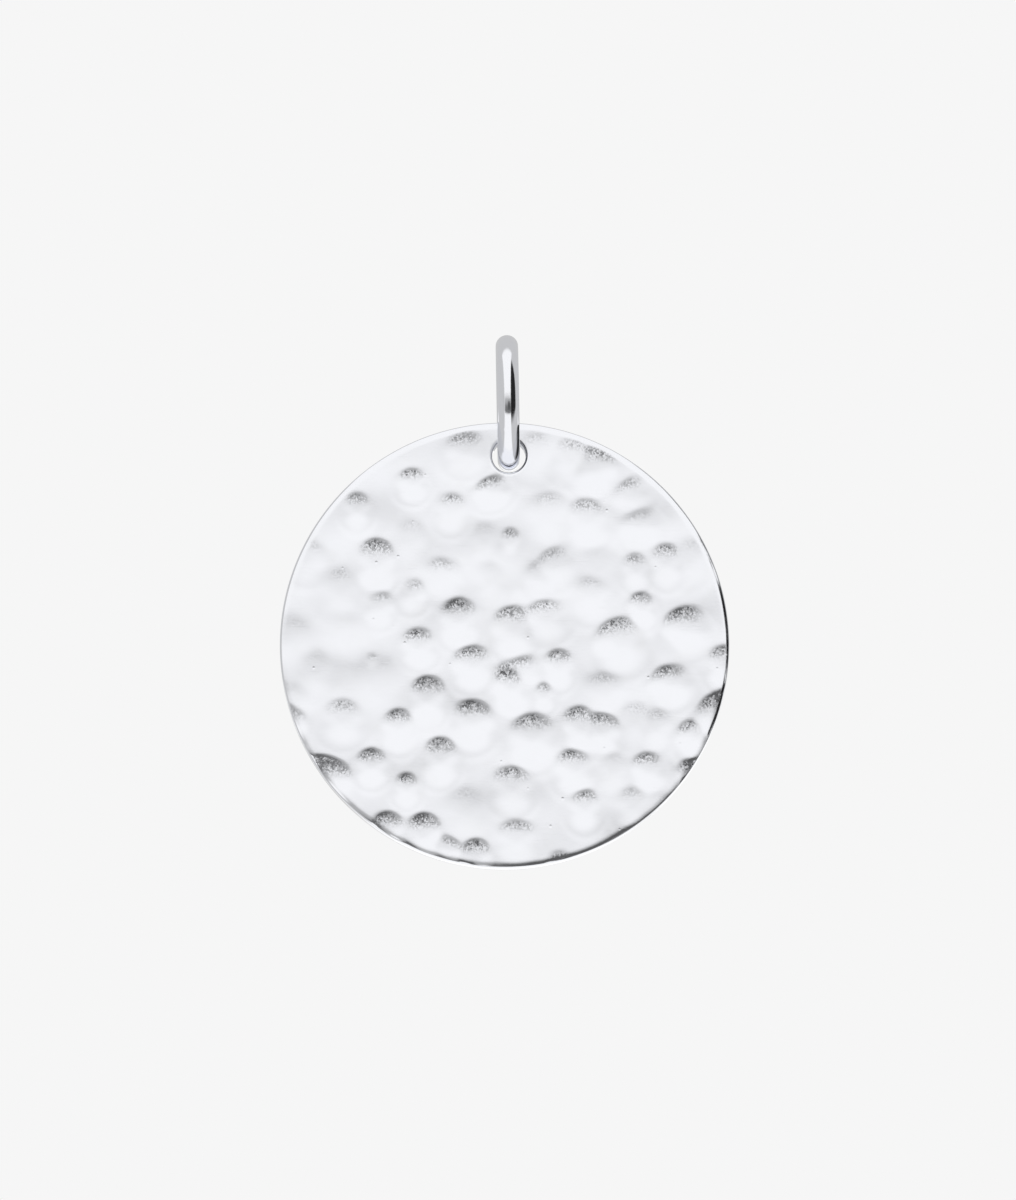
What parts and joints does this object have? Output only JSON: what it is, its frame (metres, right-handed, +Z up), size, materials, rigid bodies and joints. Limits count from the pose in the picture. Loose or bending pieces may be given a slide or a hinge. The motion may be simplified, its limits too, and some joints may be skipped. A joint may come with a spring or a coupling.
{
  "type": "disc pendant",
  "caption": "Round hammered silver disc that hangs from a closed jump ring, worn on a neck chain.",
  "frame": {"origin": "inside of the jump ring's top, where a neck chain bears", "axes": "+Z up, the hammered front faces -Y, and the chain runs through the ring along X"},
  "size_m": [0.02, 0.006, 0.024],
  "materials": {
    "disc_silver": "polished silver with hammer marks on the front and a plain back",
    "ring_silver": "polished silver wire"
  },
  "bodies": {
    "ring": {"jump_ring": "ring_silver"},
    "disc": {"disc": "disc_silver"}
  },
  "joints": [
    {"name": "disc_swing", "type": "hinge", "parent": "ring", "child": "disc", "pos_m": [0.00008, 0, -0.0045], "axis": [0, 1, 0], "range_deg": [-70, 70]}
  ]
}
